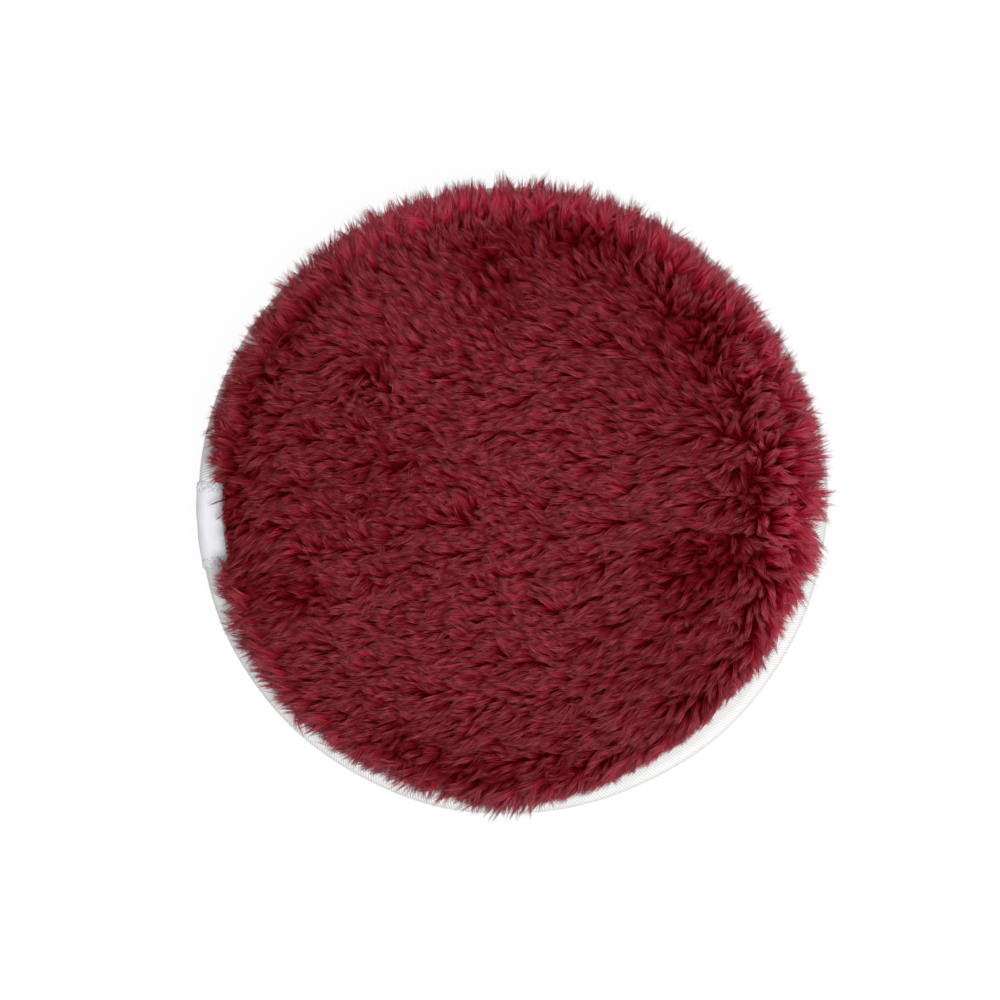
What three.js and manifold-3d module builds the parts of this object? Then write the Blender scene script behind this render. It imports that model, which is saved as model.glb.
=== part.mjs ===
// A round makeup remover pad: two plush faces round a sponge, with a folded binding tape sewn
// over their raw edges and a bare satin label tacked over the joint in the tape.
// Millimetres, +Z up. The pad lies on its back face, and the origin is under its middle.
import * as THREE from "three";
import { mergeVertices } from "three/addons/utils/BufferGeometryUtils.js";
import Module from "manifold-3d";

// Clearances
const LAYER_GAP = 0.3; // between layers of plush, sponge, tape and label
const THREAD_GAP = 0.2; // round a thread
const LABEL_SEAM_GAP = 0.6; // from the seam's needle holes to the label

// Binding tape
const EDGE_DIAMETER = 120; // over the fold
const TAPE_THICKNESS = 0.6;
const TAPE_FLANGE = 8; // from the fold to the woven edge, on each face
const TAPE_JOINT = 0.5; // between the tape's two ends, under the label

// Plush
const FABRIC_THICKNESS = 1; // knitted backing and pressed pile, under the tape
const PILE_HEIGHT = 4.7; // over the fabric, at the middle of the pad
const PILE_OVERHANG = 5.8; // how far the pile spreads out over the tape
const PILE_LIFT = 1.6; // from the pile's neck up to its widest point
const CROWN_POWER = 2.6; // 2 gives an elliptic crown, and more a flatter one
const REST_FLAT = 0.5; // depth of the flat that the pad lies on

// Sponge
const CORE_THICKNESS = 8;
const CORE_RIM = 2; // thickness at the rim
const CORE_TAPER = 9; // width of the thinning rim
const NECK_WALL = 2.4; // plush between the sponge and the tape

// Seam
const THREAD_DIAMETER = 0.4;
const STITCH_LENGTH = 5.25;
const STITCH_MARGIN = 1.5; // from the tape's woven edge to the seam

// Label
const LABEL_ANGLE = THREE.MathUtils.degToRad(184.5); // round from +X to the label's middle
const LABEL_LENGTH = 17; // round the edge
const LABEL_THICKNESS = 0.3;
const TACK_WIDTH = 1.5; // of the zigzag at each end of the label
const TACK_PITCH = 0.9; // from one zigzag to the next
const TACK_INSET = 1.1; // from the label's end to the middle of the zigzag
const TACK_MARGIN = 0.9; // from the label's inner edge to the tack's needle hole

// Smoothness
const EDGE_STEPS = 48; // round the pad
const LABEL_STEPS = 176; // round a whole ring of label
const FOLD_STEPS = 4; // round a fold
const CROWN_STEPS = 5; // from the pile's edge to its middle
const THREAD_SIDES = 4;

// The bound edge, as half thicknesses from the middle plane outwards
const fabricInside = LAYER_GAP / 2;
const fabricOutside = fabricInside + FABRIC_THICKNESS;
const tapeInside = fabricOutside + LAYER_GAP;
const tapeOutside = tapeInside + TAPE_THICKNESS;
const labelInside = tapeOutside + LAYER_GAP;
const labelOutside = labelInside + LABEL_THICKNESS;

// Threads, by the heights of their middle lines
const threadRadius = THREAD_DIAMETER / 2;
const threadPitch = THREAD_DIAMETER + THREAD_GAP; // between the middles of two threads side by side
const needleHeight = tapeOutside + THREAD_GAP + threadRadius;
const bobbinHeight = -needleHeight;
const loopHeight = bobbinHeight - threadPitch;
const tackHeight = labelOutside + THREAD_GAP + threadRadius;

// Radii from the pad's axis
const edgeRadius = EDGE_DIAMETER / 2;
const foldRadius = edgeRadius - tapeOutside; // where the tape starts to turn over
const tapeEdgeRadius = edgeRadius - TAPE_FLANGE;
const seamRadius = tapeEdgeRadius + STITCH_MARGIN;
const seamHoleWidth = 2 * (threadPitch + threadRadius + THREAD_GAP);
const threadHoleWidth = THREAD_DIAMETER + 2 * THREAD_GAP;
const labelEdgeRadius = seamRadius + seamHoleWidth / 2 + LABEL_SEAM_GAP;
const tackRadius = labelEdgeRadius + TACK_MARGIN;
const neckRadius = tapeEdgeRadius - LAYER_GAP;
const pileRadius = neckRadius + PILE_OVERHANG;
const coreRadius = neckRadius - NECK_WALL;
const coreFlatRadius = coreRadius - CORE_TAPER;
const cavityRadius = coreRadius + LAYER_GAP;

// Heights of a plush face, from the middle plane
const pileNeckHeight = threadRadius - loopHeight + LAYER_GAP; // clear of the thread's loops
const pileEdgeHeight = pileNeckHeight + PILE_LIFT;
const cavityHeight = CORE_THICKNESS / 2 + LAYER_GAP;
const pileTopHeight = cavityHeight + FABRIC_THICKNESS + PILE_HEIGHT;
const crownHeight = pileTopHeight - pileEdgeHeight;
const restHeight = pileTopHeight - REST_FLAT;

// Angles round the pad
const stitchCount = Math.round((2 * Math.PI * seamRadius) / STITCH_LENGTH);
const stitchAngles = Array.from(
  { length: stitchCount },
  (_, i) => LABEL_ANGLE + ((i + 0.5) * 2 * Math.PI) / stitchCount,
);
const labelHalfAngle = LABEL_LENGTH / 2 / edgeRadius;
const tackHalfAngle = (LABEL_LENGTH / 2 - TACK_INSET) / edgeRadius;

const wasm = await Module();
wasm.setup();

// A closed geometry as a solid that can be cut.
function solidOf(geometry) {
  geometry.deleteAttribute("normal");
  geometry.deleteAttribute("uv");
  const merged = mergeVertices(geometry);
  return new wasm.Manifold(
    new wasm.Mesh({
      numProp: 3,
      vertProperties: new Float32Array(merged.attributes.position.array),
      triVerts: new Uint32Array(merged.index.array),
    }),
  );
}

function geometryOf(solid) {
  const { vertProperties, triVerts } = solid.getMesh();
  const geometry = new THREE.BufferGeometry();
  geometry.setAttribute("position", new THREE.BufferAttribute(vertProperties, 3));
  geometry.setIndex(new THREE.BufferAttribute(triVerts, 1));
  geometry.computeVertexNormals();
  return geometry;
}

// A profile of radii and heights, turned about +Z.
function turned(profile, steps) {
  const points = profile.map(([radius, height]) => new THREE.Vector2(radius, height));
  return new THREE.LatheGeometry(points, steps).rotateX(Math.PI / 2);
}

function polar(radius, angle, height) {
  return new THREE.Vector3(radius * Math.cos(angle), radius * Math.sin(angle), height);
}

// Points round a fold, from straight up over the edge to straight down.
function foldArc(bendRadius) {
  return Array.from({ length: FOLD_STEPS + 1 }, (_, i) => {
    const turn = Math.PI / 2 - (i * Math.PI) / FOLD_STEPS;
    return [foldRadius + bendRadius * Math.cos(turn), bendRadius * Math.sin(turn)];
  });
}

// The section of a strip folded over the edge, anticlockwise.
function foldedStrip(innerRadius, inside, outside) {
  const outerFace = [[innerRadius, outside], ...foldArc(outside), [innerRadius, -outside]];
  const innerFace = [[innerRadius, inside], ...foldArc(inside), [innerRadius, -inside]];
  return [...outerFace.reverse(), ...innerFace, outerFace[0]];
}

// A thread along a path of points: each stretch is a straight prism, mitred where it meets the next.
// The path closes on itself, and what twist is left over after one round is shared out along it.
function threadLoop(path) {
  const count = path.length;
  const at = (i) => path[i % count];
  const along = path.map((point, i) => at(i + 1).clone().sub(point).normalize());
  const sides = [along[0].clone().cross(along[1]).normalize()];
  for (let i = 1; i <= count; i++) {
    const bend = new THREE.Quaternion().setFromUnitVectors(along[i - 1], along[i % count]);
    sides.push(sides[i - 1].clone().applyQuaternion(bend));
  }
  const sector = (2 * Math.PI) / THREAD_SIDES;
  const across = along[0].clone().cross(sides[count]);
  const twist = Math.atan2(sides[0].dot(across), sides[0].dot(sides[count]));
  const shift = Math.round(twist / sector);
  const spare = twist - shift * sector;

  const positions = [];
  for (let i = 0; i < count; i++) {
    const before = along[(i + count - 1) % count];
    const mitre = before.clone().add(along[i]).normalize();
    const other = along[i].clone().cross(sides[i]);
    for (let k = 0; k < THREAD_SIDES; k++) {
      const turn = k * sector + (spare * i) / count;
      const corner = sides[i].clone().multiplyScalar(threadRadius * Math.cos(turn));
      corner.addScaledVector(other, threadRadius * Math.sin(turn));
      corner.addScaledVector(along[i], -corner.dot(mitre) / along[i].dot(mitre));
      positions.push(...corner.add(path[i]).toArray());
    }
  }
  const index = [];
  for (let i = 0; i < count; i++) {
    const next = (i + 1) % count;
    const offset = next === 0 ? shift : 0;
    for (let k = 0; k < THREAD_SIDES; k++) {
      const pick = (ring, side) => ring * THREAD_SIDES + ((side + THREAD_SIDES) % THREAD_SIDES);
      const a = pick(i, k);
      const b = pick(i, k + 1);
      const c = pick(next, k + 1 - offset);
      const d = pick(next, k - offset);
      index.push(a, b, c, a, c, d);
    }
  }
  const geometry = new THREE.BufferGeometry();
  geometry.setAttribute("position", new THREE.Float32BufferAttribute(positions, 3));
  geometry.setIndex(index);
  geometry.computeVertexNormals();
  return geometry;
}

// A needle hole through the bound edge, no deeper than the label's faces and clear of the pile.
function needleHole(angle, radius, radialWidth) {
  const depth = 2 * (labelOutside + THREAD_GAP);
  const box = new THREE.BoxGeometry(radialWidth, threadHoleWidth, depth);
  return solidOf(box.translate(radius, 0, 0).rotateZ(angle));
}

const tackAngles = [LABEL_ANGLE - tackHalfAngle, LABEL_ANGLE + tackHalfAngle];
const needleHoles = [
  ...stitchAngles.map((angle) => needleHole(angle, seamRadius, seamHoleWidth)),
  ...tackAngles.map((angle) => needleHole(angle, tackRadius, threadHoleWidth)),
].reduce((all, hole) => all.add(hole));

// One plush face, from the sponge's cavity out to the raw edge, back to the neck under the pile
// and over the crown. The crown can be cut flat.
function plushProfile(cut) {
  const topHeight = crownHeight - cut;
  const lastTurn = Math.asin((topHeight / crownHeight) ** (CROWN_POWER / 2));
  const crown = Array.from({ length: CROWN_STEPS }, (_, i) => {
    const turn = (lastTurn * i) / (cut > 0 ? CROWN_STEPS - 1 : CROWN_STEPS);
    return [
      pileRadius * Math.cos(turn) ** (2 / CROWN_POWER),
      pileEdgeHeight + crownHeight * Math.sin(turn) ** (2 / CROWN_POWER),
    ];
  });
  return [
    [0, cavityHeight],
    [coreFlatRadius, cavityHeight],
    [cavityRadius, CORE_RIM / 2 + LAYER_GAP],
    [cavityRadius, fabricInside],
    [foldRadius, fabricInside],
    [foldRadius, fabricOutside],
    [neckRadius, fabricOutside],
    [neckRadius, pileNeckHeight],
    ...crown,
    [0, pileEdgeHeight + topHeight],
  ];
}

function frontPlush() {
  return geometryOf(solidOf(turned(plushProfile(0), EDGE_STEPS)).subtract(needleHoles));
}

function backPlush() {
  const mirrored = plushProfile(REST_FLAT).map(([radius, height]) => [radius, -height]);
  return geometryOf(solidOf(turned(mirrored.reverse(), EDGE_STEPS)).subtract(needleHoles));
}

function spongeCore() {
  const upper = [
    [coreRadius, CORE_RIM / 2],
    [coreFlatRadius, CORE_THICKNESS / 2],
    [0, CORE_THICKNESS / 2],
  ];
  const lower = upper.map(([radius, height]) => [radius, -height]).reverse();
  return turned([...lower, ...upper], EDGE_STEPS);
}

// The tape is one length, so its ring is open where its two ends meet.
function bindingTape() {
  const ring = solidOf(turned(foldedStrip(tapeEdgeRadius, tapeInside, tapeOutside), EDGE_STEPS));
  const joint = new THREE.BoxGeometry(2 * TAPE_FLANGE, TAPE_JOINT, 4 * tapeOutside);
  const slit = solidOf(joint.translate(edgeRadius, 0, 0).rotateZ(LABEL_ANGLE));
  return geometryOf(ring.subtract(needleHoles).subtract(slit));
}

// The needle thread runs along the front and, at each hole, goes down, round the bobbin thread
// and up again.
function needleThread() {
  const path = stitchAngles.flatMap((angle) => [
    polar(seamRadius - threadPitch, angle, needleHeight),
    polar(seamRadius - threadPitch, angle, loopHeight),
    polar(seamRadius + threadPitch, angle, loopHeight),
    polar(seamRadius + threadPitch, angle, needleHeight),
  ]);
  return threadLoop(path);
}

function bobbinThread() {
  return threadLoop(stitchAngles.map((angle) => polar(seamRadius, angle, bobbinHeight)));
}

function edgeLabel() {
  const ring = solidOf(turned(foldedStrip(labelEdgeRadius, labelInside, labelOutside), LABEL_STEPS));
  const reach = 2 * edgeRadius;
  const wedge = new THREE.Shape();
  wedge.moveTo(0, 0);
  wedge.lineTo(reach * Math.cos(labelHalfAngle), -reach * Math.sin(labelHalfAngle));
  wedge.lineTo(reach * Math.cos(labelHalfAngle), reach * Math.sin(labelHalfAngle));
  const depth = 4 * labelOutside;
  const cutter = new THREE.ExtrudeGeometry(wedge, { depth, bevelEnabled: false });
  cutter.translate(0, 0, -depth / 2).rotateZ(LABEL_ANGLE);
  return geometryOf(ring.intersect(solidOf(cutter)).subtract(needleHoles));
}

// A point on the way round the bound edge at a tack's height, by its distance from the needle hole.
function tackPoint(distance) {
  const flat = foldRadius - tackRadius;
  const turn = (distance - flat) / tackHeight;
  if (turn < 0) {
    return [tackRadius + distance, tackHeight];
  }
  if (turn > Math.PI) {
    return [foldRadius - tackHeight * (turn - Math.PI), -tackHeight];
  }
  return [foldRadius + tackHeight * Math.sin(turn), tackHeight * Math.cos(turn)];
}

// A tack zigzags round the edge from the front to the back and returns through its needle hole.
function labelTack(angle) {
  const length = 2 * (foldRadius - tackRadius) + Math.PI * tackHeight;
  const steps = 2 * Math.round(length / TACK_PITCH);
  const path = [];
  for (let i = 0; i <= steps; i++) {
    const [radius, height] = tackPoint((length * i) / steps);
    const swing = i === 0 || i === steps ? 0 : (-1) ** i;
    path.push(polar(radius, angle + (swing * TACK_WIDTH) / 2 / radius, height));
  }
  return threadLoop(path);
}

const PLUSH = { color: 0x85202f, roughness: 0.95 };
const SPONGE = { color: 0xf0e6cf, roughness: 1 };
const TAPE = { color: 0xeeebe4, roughness: 0.85 };
const THREAD = { color: 0xf4f1ea, roughness: 0.6 };
const SATIN = { color: 0xf1f2f8, roughness: 0.35 };

const parts = [
  ["front_plush", frontPlush(), PLUSH],
  ["back_plush", backPlush(), PLUSH],
  ["sponge_core", spongeCore(), SPONGE],
  ["binding_tape", bindingTape(), TAPE],
  ["needle_thread", needleThread(), THREAD],
  ["bobbin_thread", bobbinThread(), THREAD],
  ["edge_label", edgeLabel(), SATIN],
  ["label_tack_upper", labelTack(tackAngles[0]), THREAD],
  ["label_tack_lower", labelTack(tackAngles[1]), THREAD],
];

const pad = new THREE.Group();
pad.position.z = restHeight;
for (const [name, geometry, look] of parts) {
  const mesh = new THREE.Mesh(geometry, new THREE.MeshStandardMaterial({ ...look, metalness: 0 }));
  mesh.name = name;
  pad.add(mesh);
}

const object = new THREE.Group();
object.add(pad);

export default object;
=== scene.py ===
# A round plush makeup remover pad, seen from straight above on a white floor.
# Lengths are in millimetres from the pad's middle plane, and become metres when a mesh is made.
import math

import bpy
import numpy as np
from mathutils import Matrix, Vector
from mathutils.kdtree import KDTree


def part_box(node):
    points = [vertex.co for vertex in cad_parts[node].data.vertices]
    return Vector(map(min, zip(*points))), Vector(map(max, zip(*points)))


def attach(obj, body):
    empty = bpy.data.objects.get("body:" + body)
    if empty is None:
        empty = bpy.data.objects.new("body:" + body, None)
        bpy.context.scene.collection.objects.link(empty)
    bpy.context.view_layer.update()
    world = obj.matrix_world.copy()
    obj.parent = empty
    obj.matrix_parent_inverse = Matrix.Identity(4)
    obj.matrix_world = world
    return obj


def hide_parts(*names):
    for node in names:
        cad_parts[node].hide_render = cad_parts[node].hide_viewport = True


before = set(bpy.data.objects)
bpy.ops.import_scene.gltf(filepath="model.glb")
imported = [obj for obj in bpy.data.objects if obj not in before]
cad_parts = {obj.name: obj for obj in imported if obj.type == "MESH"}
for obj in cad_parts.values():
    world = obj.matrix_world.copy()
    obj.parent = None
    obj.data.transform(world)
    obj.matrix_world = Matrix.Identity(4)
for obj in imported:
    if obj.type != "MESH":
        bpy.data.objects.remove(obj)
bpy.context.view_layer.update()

# The bound edge, as in the part's source
MM = 0.001
EDGE_RADIUS = 60.0
FOLD_RADIUS = 57.95  # where the tape starts to turn over
TAPE_EDGE_RADIUS = 52.0
TAPE_INSIDE = 1.45
TAPE_OUTSIDE = 2.05
LABEL_EDGE_RADIUS = 55.1
LABEL_INSIDE = 2.15
LABEL_OUTSIDE = 2.38
LABEL_ANGLE = math.radians(184.5)
LABEL_HALF_ANGLE = 8.5 / EDGE_RADIUS
TACK_HALF_ANGLE = 7.4 / EDGE_RADIUS
TACK_RADIUS = 56.0
SEAM_RADIUS = 53.5
STITCHES = 64
THREAD_RADIUS = 0.2
THREAD_PITCH = 0.6
NEEDLE_HEIGHT = 2.45
LOOP_HEIGHT = -3.05

# The plush and the sponge, as in the part's source
NECK_RADIUS = 51.7
FABRIC_INSIDE = 0.15
FABRIC_OUTSIDE = 1.15
CAVITY_HEIGHT = 4.3
CAVITY_RIM_HEIGHT = 1.3
CAVITY_RADIUS = 49.6
CORE_FLAT_RADIUS = 40.3
CORE_RADIUS = 49.3
CORE_HEIGHT = 4.0
CORE_RIM_HEIGHT = 1.0

# Waves of the bound edge: their height, how many go round and where they start
EDGE_WAVES = ((0.22, 2, 0.6), (0.16, 3, 2.0), (0.1, 7, 1.0), (0.06, 13, 0.0))

# The ground fabric under the pile, which bulges out over the seam
NECK_HEIGHT = 3.2
GROUND_RADIUS = 54.7
GROUND_EDGE_HEIGHT = 4.5
GROUND_RISE = 3.95
GROUND_POWER = 3.0
GROUND_ROUND = 0.55
GROUND_RINGS = 30
GROUND_SPACING = 2.5
PUCKER_HEIGHT = 0.15
PUCKER_RADIUS = 46.0  # from here out the stitches pucker it
PUCKER_BASE = FABRIC_OUTSIDE + 0.5  # what lies under the tape stays flat

# The fibre's colours from root to tip, darker towards the roots as painted shade and paler pink towards
# the tips as painted highlight: dark and light on the crown, and clear red at the rim, a brighter red
# that is painted backlight
DARK_FIBRE = [(0.0, (0.17, 0.0003, 0.004)), (0.5, (0.21, 0.002, 0.009)), (1.0, (0.29, 0.014, 0.026))]
LIGHT_FIBRE = [
    (0.0, (0.26, 0.001, 0.008)),
    (0.25, (0.36, 0.009, 0.022)),
    (0.5, (0.51, 0.055, 0.08)),
    (1.0, (0.78, 0.26, 0.3)),
]
PAINTED_BACKLIGHT_FIBRE = [(0.0, (0.28, 0.0005, 0.01)), (0.5, (0.52, 0.006, 0.036)), (1.0, (0.86, 0.11, 0.2))]
PAINTED_BACKLIGHT_TONES = (0.5, 0.75)  # the tones between which the crown's colours give way to the clear red of painted backlight

# The pile: hairs in locks, and locks in tufts
FRONT_SEEDS = (11, 23)  # for the hairs and for the nap
BACK_SEEDS = (31, 37)
FRONT_LOCK_AREA = 0.5
BACK_LOCK_AREA = 1.4
FRONT_SECTORS = 18
BACK_SECTORS = 8
FRONT_PRESS = (9.6, 11.2)  # the height from which hairs are bent down, and the one that none passes
BACK_PRESS = (7.8, 9.35)
GOLDEN_ANGLE = math.pi * (3 - math.sqrt(5))
ROOT_EDGE = GROUND_RADIUS - 0.1
CROWN_EDGE = GROUND_RADIUS - 0.3
ROOT_SCATTER = 0.3
HAIRS_PER_LOCK = 8
HAIR_LENGTH = 4.9
HAIR_WIDTH = 0.12
HAIR_WIDTHS = (0.75, 1.2)  # the thinnest and the thickest, as shares
HAIR_RINGS = 3
HAIR_SIDES = 3
HAIR_SHARES = np.linspace(0, 1, HAIR_RINGS + 1)  # from root to tip
HAIR_STRAY = 0.13
LONGEST_HAIR = 1.04  # as a share of its lock
LEAST_TRIM = 0.25  # what stays of the shortest locks
TIP_TAPER = 0.5
TAPER_POWER = 1.6
ASKEW = (0.31, 0.52, 0.8)  # a direction that the hairs don't follow
LOCK_SPREAD = 1.3  # of the roots in a lock, against its even share of the face
GATHER_SPREAD = 0.08
GATHER_POWER = 1.4
LOOSE_SHARE = 0.8
LOOSE_GATHER = 0.1  # of the hairs that stay out of their lock
LOCK_TONE = (0.3, 0.06)  # mean and spread
HAIR_TONE = 0.18
TAPE_CLEAR = 3.05  # the least height of hairs over the tape and label
EDGE_DROP = 0.6  # how far they may hang lower outside the edge
EDGE_DROP_WIDTH = 3.0

# The crown's tufts, with headings and curls in radians and lifts in degrees
TUFT_AREA = 1.8
TUFT_PULL = 0.85
TUFT_LEAN = 0.25
LEAN_WAVE = 8.0
TUFT_TONE = 0.07
HEADING_SPREAD = 0.11
CURL_SPREAD = 0.24
LENGTH_SPREAD = 0.14
START_LIFT = (49, 7)  # mean and spread
END_LIFT = (0, 7)
CROWN_SPREADS = (0.07, 0.1, 0.08, 5, 6)  # each lock's own, of heading, curl, length and both lifts
CROWN_GATHERED = 0.54
FLAT_GATHERED = 0.28
CROWN_SHORTEST = 0.8
CROWN_INSET_SPREAD = 0.3

# How much they change where the pile is combed, stands up or has a hollow
FULLY_COMBED = 3.0  # a comb's strength
COMBED_CALM = 0.5
COMBED_NEAT = 0.02
COMBED_LONG = 0.22
STANDING_SHORT = 0.35
STANDING_START = 25
STANDING_END = 34
HOLLOW_PATCHES = 0.5
HOLLOW_WAVE = 4.0
HOLLOW_RANGE = (0.2, 1.5)
HOLLOW_STAND = 0.6
HOLLOW_SHORT = 0.3
# painted shade: how much darker the locks in the hollows are coloured
HOLLOW_PAINTED_SHADE = 0.8

# The nap: the way it mostly lies, its waves in radians and millimetres, and its parting at the rim
NAP = (-1.0, 0.1)
NAP_WAVES = ((0.28, 7.0), (0.15, 20.0))
PARTING_WOBBLE = 1.2
PARTING_WAVES = 36
PARTING_REACH = 4.0
PARTING_STAND = 0.55  # how far the pile stands up there, from 0 for flat to 1 for upright
UPRIGHT = 60  # degrees of stand at the rim that count as upright

# The rim's tufts
FRONT_RIM_TUFTS = 1150
BACK_RIM_TUFTS = 450
RIM_LOCKS = 4
RIM_LENGTH = 8.5
RIM_PULL = 0.3
RIM_ROOT_BAND = 2.2
RIM_ROOT_DROP = 0.6
RIM_ROOT_SCATTER = (0.28, 0.28, 0.15)
RIM_LEAST_REACH = 1.5
RIM_HEADING_SPREAD = 0.25
RIM_CURL_SPREAD = 0.45
RIM_LENGTH_SPREAD = 0.08
RIM_START_LIFT = 75
RIM_END_LIFT = (-2, 9)
RIM_SPREADS = (0.12, 0.1, 0.05, 4, 4)
RIM_TONE_SPREAD = 0.08
# how far into the crown the rim's painted light and shade reaches
RIM_PAINTED_LIGHT_BAND = 4.0
RIM_GATHERED = 0.4
RAGGED_GATHERED = 0.45
RIM_SHORTEST = 0.86
LONG_TUFTS = 0.3  # the share of them that stand out from the dense edge
LONG_INSET = 0.5
DENSE_INSET = 1.6
DENSE_SPREAD = 0.4
LOCK_INSET = 0.2

# The long locks of the rim
LONG_TIP_HEIGHT = 3.6
LONG_ROOT_INSET = 0.8
LONG_LENGTH = 9.0
LONG_ARCH = 2.4
LONG_SPREAD = 0.17
LONG_SCATTER = 0.4
LONG_GATHERED = 0.94
LONG_SHORTEST = 0.72

tape_low, tape_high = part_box("binding_tape")
MIDDLE_HEIGHT = (tape_low[2] + tape_high[2]) / 2


# Small helpers


def smoothstep(start, end, value):
    share = np.clip((value - start) / (end - start), 0, 1)
    return share * share * (3 - 2 * share)


def polar(radius, angle, height):
    radius, angle, height = np.broadcast_arrays(radius, angle, height)
    return np.stack([radius * np.cos(angle), radius * np.sin(angle), height], axis=-1)


def from_axis(points):
    return np.hypot(points[..., 0], points[..., 1])


def way_round(points):
    """The angles of points round the pad."""
    return np.arctan2(points[..., 1], points[..., 0])


def falloff(x, y, reach):
    """From 1 in the middle of a spot to nothing well outside its reach."""
    return np.exp(-(x**2 + y**2) / (2 * reach**2))


def unit(vectors):
    return vectors / np.maximum(np.linalg.norm(vectors, axis=-1, keepdims=True), 1e-9)


def smooth_noise(x, y, wavelength, rng, waves=16, lengths=(0.7, 1.5)):
    """A wavy field with a spread of about 1."""
    total = np.zeros_like(x)
    for _ in range(waves):
        heading = rng.uniform(0, 2 * math.pi)
        length = wavelength * rng.uniform(*lengths)
        phase = rng.uniform(0, 2 * math.pi)
        along = x * math.cos(heading) + y * math.sin(heading)
        total += np.sin(2 * math.pi * along / length + phase)
    return total / math.sqrt(waves / 2)


def ring_noise(angle, count, rng, waves=10, counts=(0.6, 1.6)):
    """A wavy line round the pad, with about count waves and a spread of about 1."""
    total = np.zeros_like(angle)
    for _ in range(waves):
        turns = round(count * rng.uniform(*counts))
        total += np.sin(turns * angle + rng.uniform(0, 2 * math.pi))
    return total / math.sqrt(waves / 2)


def add_object(name, data):
    thing = bpy.data.objects.new(name, data)
    bpy.context.scene.collection.objects.link(thing)
    return thing


def add_piece(name, points, faces, material, nodes):
    """A smooth mesh object that rides with the pad and stands for the CAD nodes named."""
    world = np.asarray(points, dtype=np.float64).reshape(-1, 3) * MM
    world[:, 2] += MIDDLE_HEIGHT
    faces = np.asarray(faces, dtype=np.int32)
    corners = faces.shape[1]
    mesh = bpy.data.meshes.new(name)
    mesh.vertices.add(len(world))
    mesh.vertices.foreach_set("co", world.ravel().astype(np.float32))
    mesh.loops.add(faces.size)
    mesh.loops.foreach_set("vertex_index", faces.ravel())
    mesh.polygons.add(len(faces))
    mesh.polygons.foreach_set("loop_start", np.arange(0, faces.size, corners, dtype=np.int32))
    mesh.update(calc_edges=True)
    mesh.shade_smooth()
    mesh.materials.append(material)
    piece = add_object(name, mesh)
    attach(piece, "root")
    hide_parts(*nodes)
    return piece


def add_uv(piece, name, uv):
    """A UV map with one place for each vertex."""
    mesh = piece.data
    vertex = np.empty(len(mesh.loops), dtype=np.int32)
    mesh.loops.foreach_get("vertex_index", vertex)
    layer = mesh.uv_layers.new(name=name)
    layer.data.foreach_set("uv", uv[vertex].astype(np.float32).ravel())


def add_values(piece, name, values, shape):
    """A named value for each vertex of a grid, from one for each of its columns."""
    layer = piece.data.attributes.new(name, "FLOAT", "POINT")
    layer.data.foreach_set("value", np.broadcast_to(values, shape).ravel().astype(np.float32))


def grid_faces(rows, columns, close_rows=False, close_columns=False):
    """Quads over a grid of points, row by row."""
    row = np.arange(rows if close_rows else rows - 1)
    column = np.arange(columns if close_columns else columns - 1)
    row, column = (a.ravel() for a in np.meshgrid(row, column, indexing="ij"))
    next_row = (row + 1) % rows
    next_column = (column + 1) % columns
    corners = ((row, column), (row, next_column), (next_row, next_column), (next_row, column))
    return np.stack([place * columns + across for place, across in corners], axis=-1)


# Node helpers


def new_material(name):
    material = bpy.data.materials.new(name)
    material.use_nodes = True
    return material, material.node_tree


def set_inputs(tree, node, inputs):
    """Links a node's inputs to sockets, or sets them to values."""
    for name, value in inputs.items():
        if isinstance(value, bpy.types.NodeSocket):
            tree.links.new(value, node.inputs[name])
        else:
            node.inputs[name].default_value = value


def add_node(tree, kind, inputs=None, **settings):
    """A new shader node with its settings and inputs."""
    node = tree.nodes.new("ShaderNode" + kind)
    for name, value in settings.items():
        setattr(node, name, value)
    set_inputs(tree, node, inputs or {})
    return node


def add_ramp(tree, factor, stops):
    ramp = add_node(tree, "ValToRGB", {"Fac": factor})
    elements = ramp.color_ramp.elements
    while len(elements) < len(stops):
        elements.new(0.5)
    for element, (place, colour) in zip(elements, stops):
        element.position = place
        element.color = (*colour, 1)
    return ramp.outputs["Color"]


def add_mix(tree, blend, factor, first, second):
    inputs = {"Factor": factor, 6: first, 7: second}
    return add_node(tree, "Mix", inputs, data_type="RGBA", blend_type=blend).outputs[2]


def add_range(tree, value, low, high, start=0.0, end=1.0):
    inputs = {"Value": value, "From Min": start, "From Max": end, "To Min": low, "To Max": high}
    return add_node(tree, "MapRange", inputs).outputs["Result"]


def add_noise(tree, scale):
    inputs = {"Vector": object_coordinates(tree), "Scale": scale, "Detail": 4.0}
    return add_node(tree, "TexNoise", inputs).outputs["Fac"]


def add_cells(tree, coordinates, scale):
    inputs = {"Vector": coordinates, "Scale": scale}
    return add_node(tree, "TexVoronoi", inputs).outputs["Distance"]


def add_weave(tree, scale, distortion, detail):
    """Threads across a strip's weave map."""
    place = uv_map(tree, "weave")
    inputs = {"Vector": place, "Scale": scale, "Distortion": distortion, "Detail": detail}
    return add_node(tree, "TexWave", inputs, wave_type="BANDS", bands_direction="Y").outputs["Fac"]


def object_coordinates(tree):
    return add_node(tree, "TexCoord").outputs["Object"]


def uv_map(tree, name):
    return add_node(tree, "UVMap", uv_map=name).outputs["UV"]


def named_values(tree, name):
    return add_node(tree, "Attribute", attribute_name=name).outputs["Fac"]


def set_surface(tree, colour, roughness, relief=None, depth=0.0, specular=0.5, sheen=0.0):
    """What a material's shader takes in, with relief of some depth as bump."""
    inputs = {"Base Color": colour, "Roughness": roughness}
    inputs.update({"Specular IOR Level": specular, "Sheen Weight": sheen})
    if relief is not None:
        bump = add_node(tree, "Bump", {"Height": relief, "Distance": depth, "Strength": 1.0})
        inputs["Normal"] = bump.outputs["Normal"]
    set_inputs(tree, tree.nodes["Principled BSDF"], inputs)


# Materials


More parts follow.
